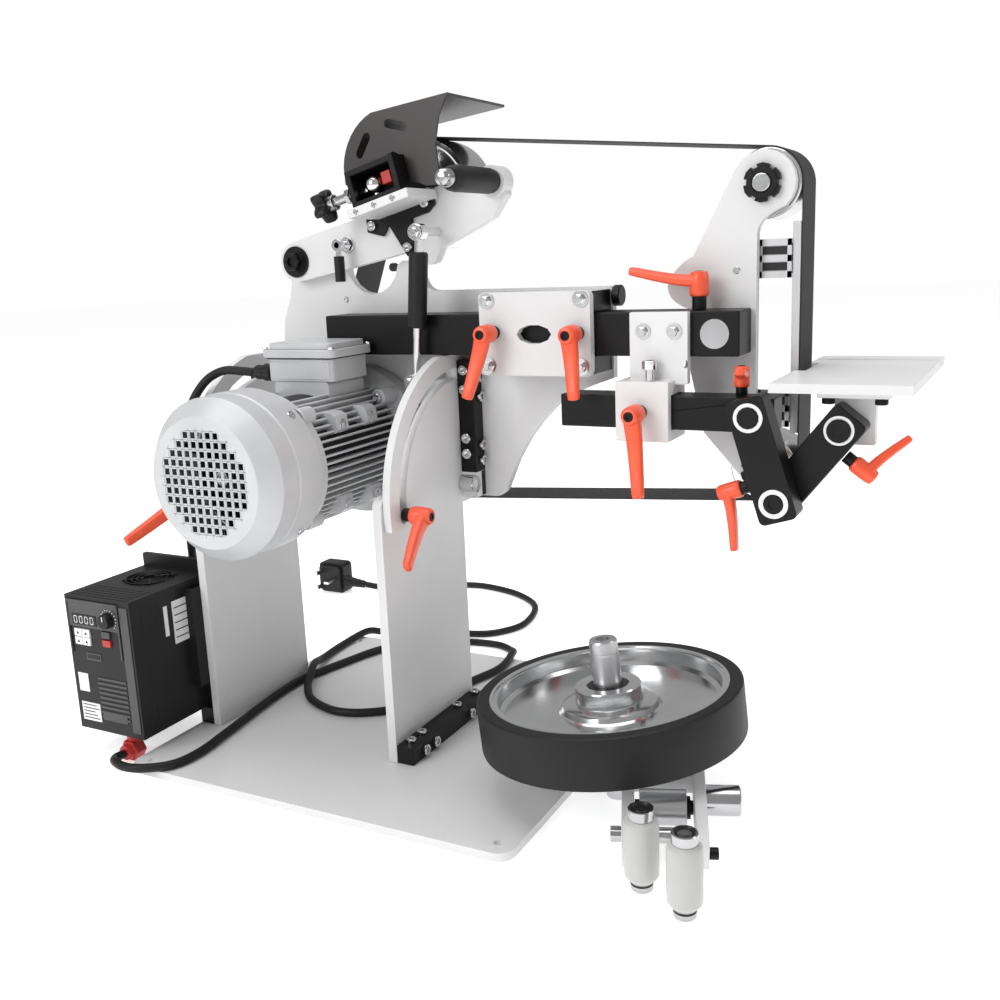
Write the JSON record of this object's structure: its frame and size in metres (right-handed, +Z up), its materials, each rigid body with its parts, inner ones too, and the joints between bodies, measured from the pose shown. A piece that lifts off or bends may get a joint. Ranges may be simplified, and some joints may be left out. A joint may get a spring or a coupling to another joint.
{
  "type": "belt grinder",
  "caption": "Bench belt grinder with a tilting head: motor, abrasive belt over wheels and platen, folding work rest, inverter, and spare wheels beside it.",
  "frame": {"origin": "middle of the base plate's underside", "axes": "+X along the tool arm towards the platen, +Y from the motor's fan towards the drive wheel, +Z up"},
  "size_m": [0.886, 0.6832, 0.642],
  "materials": {
    "paint": "light grey satin powder coat",
    "black_steel": "black oxide, satin",
    "motor_alloy": "silver-grey painted alloy",
    "winding": "varnished copper windings and laminations",
    "steel": "bright turned steel",
    "alloy": "turned aluminium",
    "black_plastic": "moulded black plastic",
    "white_plastic": "moulded pale plastic",
    "orange_plastic": "orange glass-filled plastic",
    "red_plastic": "red moulded plastic",
    "grey_plastic": "dark grey moulded plastic",
    "rubber": "black rubber",
    "abrasive": "abrasive-coated cloth",
    "bronze_sheet": "dark brown-black sheet steel"
  },
  "bodies": {
    "stand": {"base_plate": "paint", "upright_right": "paint", "upright_left": "paint", "inverter_housing": "grey_plastic", "mains_gland": "red_plastic", "mains_lead": "rubber", "mains_plug": "black_plastic"},
    "head": {"sector_right": "paint", "sector_left": "paint", "main_plate": "paint", "motor_housing": "motor_alloy", "motor_stator": "winding", "fan_cover": "motor_alloy", "terminal_box": "motor_alloy", "motor_cable": "rubber", "receiver": "paint", "abrasive_belt": "abrasive"},
    "drive_rotor": {"motor_rotor": "steel", "motor_fan": "black_plastic", "drive_wheel": "alloy"},
    "tension": {"tension_arm": "paint", "release_handle": "rubber", "tracking_bracket": "black_steel", "belt_hood": "bronze_sheet"},
    "gas_cylinder": {"gas_spring_cylinder": "black_steel"},
    "gas_rod": {"gas_spring_rod": "steel"},
    "track_knob": {"tracking_knob": "black_plastic"},
    "track_axle": {"tracking_axle": "steel"},
    "track_wheel": {"tracking_wheel": "alloy"},
    "tool": {"tool_arm": "black_steel", "platen_plate": "paint", "platen_bar": "steel", "rest_bracket": "paint"},
    "idler_upper": {"idler_top": "alloy"},
    "idler_lower": {"idler_low": "alloy"},
    "rest_slide": {"rest_bar": "black_steel"},
    "rest_lower": {"rest_arm_lower": "black_steel"},
    "rest_upper": {"rest_arm_upper": "black_steel"},
    "rest_table": {"work_table": "paint"},
    "fan": {"inverter_fan": "black_plastic"},
    "speed_knob": {"inverter_knob": "black_plastic"},
    "keypad": {"inverter_keypad": "white_plastic"},
    "key_run": {"inverter_key_run": "grey_plastic"},
    "key_stop": {"inverter_key_stop": "red_plastic"},
    "big_wheel_shaft": {"contact_shaft": "steel"},
    "big_wheel": {"contact_tyre": "rubber", "contact_hub": "alloy"},
    "holder": {"roller_holder": "paint"},
    "small_roller": {"holder_roller": "rubber"},
    "loose_roller_left": {"spare_roller_left": "white_plastic"},
    "loose_roller_right": {"spare_roller_right": "white_plastic"},
    "handle_tilt_right": {"lever_tilt_right": "orange_plastic"},
    "handle_tilt_left": {"lever_tilt_left": "orange_plastic"},
    "handle_receiver_near": {"lever_receiver_near": "orange_plastic"},
    "handle_receiver_far": {"lever_receiver_far": "orange_plastic"},
    "handle_platen": {"lever_platen": "orange_plastic"},
    "handle_rest_slide": {"lever_rest_slide": "orange_plastic"},
    "handle_rest_shoulder": {"lever_rest_shoulder": "orange_plastic"},
    "handle_rest_elbow": {"lever_rest_elbow": "orange_plastic"},
    "handle_rest_table": {"lever_rest_table": "orange_plastic"}
  },
  "joints": [
    {"name": "head_tilt", "type": "hinge", "parent": "stand", "child": "head", "pos_m": [-0.0785, 0.0484, 0.262], "axis": [1, 0, 0], "range_deg": [0, 75], "deforming": ["motor_cable"]},
    {"name": "drive_spin", "type": "hinge", "parent": "head", "child": "drive_rotor", "pos_m": [-0.08, 0.105, 0.3035], "axis": [0, 1, 0], "continuous": true},
    {"name": "tension_swing", "type": "hinge", "parent": "head", "child": "tension", "pos_m": [-0.146, 0.056, 0.4935], "axis": [0, 1, 0], "range_deg": [0, 6], "stiffness_Nm_per_rad": 120, "springref_deg": -17.19, "deforming": ["abrasive_belt"]},
    {"name": "gas_cylinder_swing", "type": "hinge", "parent": "tension", "child": "gas_cylinder", "pos_m": [0.033, 0.013, 0.517], "axis": [0, 1, 0], "range_deg": [-5.2, 0.5]},
    {"name": "gas_rod_stroke", "type": "slide", "parent": "gas_cylinder", "child": "gas_rod", "axis": [0.0893, 0, 0.996], "range_m": [-0.001, 0.0195]},
    {"name": "tracking_screw", "type": "hinge", "parent": "tension", "child": "track_knob", "pos_m": [-0.05016, 0.014, 0.55347], "axis": [0.9703, 0, 0.2419], "range_deg": [-360, 360]},
    {"name": "tracking_lean", "type": "hinge", "parent": "tension", "child": "track_axle", "pos_m": [0, 0.056, 0.556], "axis": [-0.2419, 0, 0.9703], "range_deg": [-2.7, 2.7], "deforming": ["abrasive_belt"]},
    {"name": "tracking_wheel_spin", "type": "hinge", "parent": "track_axle", "child": "track_wheel", "pos_m": [0, 0.105, 0.556], "axis": [0, 1, 0], "continuous": true},
    {"name": "tool_arm_slide", "type": "slide", "parent": "head", "child": "tool", "axis": [1, 0, 0], "range_m": [-0.01, 0.01], "deforming": ["abrasive_belt"]},
    {"name": "idler_top_spin", "type": "hinge", "parent": "tool", "child": "idler_upper", "pos_m": [0.353, 0.105, 0.544], "axis": [0, 1, 0], "continuous": true},
    {"name": "idler_low_spin", "type": "hinge", "parent": "tool", "child": "idler_lower", "pos_m": [0.353, 0.105, 0.289], "axis": [0, 1, 0], "continuous": true},
    {"name": "rest_bar_slide", "type": "slide", "parent": "tool", "child": "rest_slide", "axis": [1, 0, 0], "range_m": [0, 0.045]},
    {"name": "rest_shoulder", "type": "hinge", "parent": "rest_slide", "child": "rest_lower", "pos_m": [0.3635, 0, 0.3505], "axis": [0, 1, 0], "range_deg": [-2, 35]},
    {"name": "rest_elbow", "type": "hinge", "parent": "rest_lower", "child": "rest_upper", "pos_m": [0.386, 0.01, 0.278], "axis": [0, 1, 0], "range_deg": [-1, 45]},
    {"name": "rest_wrist", "type": "hinge", "parent": "rest_upper", "child": "rest_table", "pos_m": [0.433, 0.022, 0.338], "axis": [0, 1, 0], "range_deg": [-2, 40]},
    {"name": "lever_tilt_right_turn", "type": "hinge", "parent": "stand", "child": "handle_tilt_right", "pos_m": [0.06, -0.0664, 0.255], "axis": [1, 0, 0], "range_deg": [-40, 80]},
    {"name": "lever_tilt_left_turn", "type": "hinge", "parent": "stand", "child": "handle_tilt_left", "pos_m": [-0.22, -0.0664, 0.255], "axis": [1, 0, 0], "range_deg": [-60, 20]},
    {"name": "lever_receiver_near_turn", "type": "hinge", "parent": "head", "child": "handle_receiver_near", "pos_m": [0.11, 0, 0.42], "axis": [0, 1, 0], "range_deg": [-60, 60]},
    {"name": "lever_receiver_far_turn", "type": "hinge", "parent": "head", "child": "handle_receiver_far", "pos_m": [0.197, 0, 0.419], "axis": [0, 1, 0], "range_deg": [-60, 60]},
    {"name": "lever_platen_turn", "type": "hinge", "parent": "tool", "child": "handle_platen", "pos_m": [0.302, 0.046, 0.45], "axis": [0, 0, 1], "range_deg": [-8, 80]},
    {"name": "lever_rest_slide_turn", "type": "hinge", "parent": "tool", "child": "handle_rest_slide", "pos_m": [0.262, -0.015, 0.35], "axis": [0, 1, 0], "range_deg": [-60, 60]},
    {"name": "lever_rest_shoulder_turn", "type": "hinge", "parent": "rest_slide", "child": "handle_rest_shoulder", "pos_m": [0.347, 0.024, 0.37], "axis": [0, 0, 1], "range_deg": [-60, 40]},
    {"name": "lever_rest_elbow_turn", "type": "hinge", "parent": "rest_lower", "child": "handle_rest_elbow", "pos_m": [0.36443, -0.005, 0.29015], "axis": [-0.9551, 0, -0.2964], "range_deg": [-45, 60]},
    {"name": "lever_rest_table_turn", "type": "hinge", "parent": "rest_upper", "child": "handle_rest_table", "pos_m": [0.43652, 0.022, 0.31492], "axis": [0.7872, 0, -0.6167], "range_deg": [-20, 60]},
    {"name": "inverter_fan_spin", "type": "hinge", "parent": "stand", "child": "fan", "pos_m": [-0.251, -0.108, 0.16], "axis": [0, 0, 1], "continuous": true},
    {"name": "speed_knob_turn", "type": "hinge", "parent": "stand", "child": "speed_knob", "pos_m": [-0.2355, -0.182, 0.152], "axis": [0, 1, 0], "range_deg": [-135, 135]},
    {"name": "keypad_press", "type": "slide", "parent": "stand", "child": "keypad", "axis": [0, 1, 0], "range_m": [0, 0.0008], "stiffness_N_per_m": 600},
    {"name": "key_run_press", "type": "slide", "parent": "stand", "child": "key_run", "axis": [0, 1, 0], "range_m": [0, 0.0008], "stiffness_N_per_m": 600},
    {"name": "key_stop_press", "type": "slide", "parent": "stand", "child": "key_stop", "axis": [0, 1, 0], "range_m": [0, 0.0008], "stiffness_N_per_m": 600},
    {"name": "big_wheel_lift", "type": "slide", "parent": "stand", "child": "big_wheel_shaft", "axis": [0, 0, 1], "range_m": [0, 0.01]},
    {"name": "big_wheel_spin", "type": "hinge", "parent": "big_wheel_shaft", "child": "big_wheel", "pos_m": [0.25, -0.054, 0.085], "axis": [-0.0995, 0, 0.995], "continuous": true},
    {"name": "holder_pull", "type": "slide", "parent": "stand", "child": "holder", "axis": [0.9394, 0.3429, 0], "range_m": [0, 0.1]},
    {"name": "small_roller_spin", "type": "hinge", "parent": "holder", "child": "small_roller", "pos_m": [0.321, -0.115, 0.0331], "axis": [0.9394, 0.3429, 0], "continuous": true},
    {"name": "loose_roller_left_lift", "type": "slide", "parent": "stand", "child": "loose_roller_left", "axis": [0, 0, 1], "range_m": [0, 0.08]},
    {"name": "loose_roller_right_lift", "type": "slide", "parent": "stand", "child": "loose_roller_right", "axis": [0, 0, 1], "range_m": [0, 0.08]}
  ],
  "couplings": [
    {"joint": "gas_cylinder_swing", "follows": "tension_swing", "ratio": -0.785},
    {"joint": "gas_rod_stroke", "follows": "tension_swing", "m_per_rad": 0.178},
    {"joint": "tracking_lean", "follows": "tracking_screw", "ratio": 0.006944},
    {"joint": "tracking_wheel_spin", "follows": "drive_spin", "ratio": 1.2727},
    {"joint": "idler_top_spin", "follows": "drive_spin", "ratio": 2.2951},
    {"joint": "idler_low_spin", "follows": "drive_spin", "ratio": 2.2951}
  ]
}
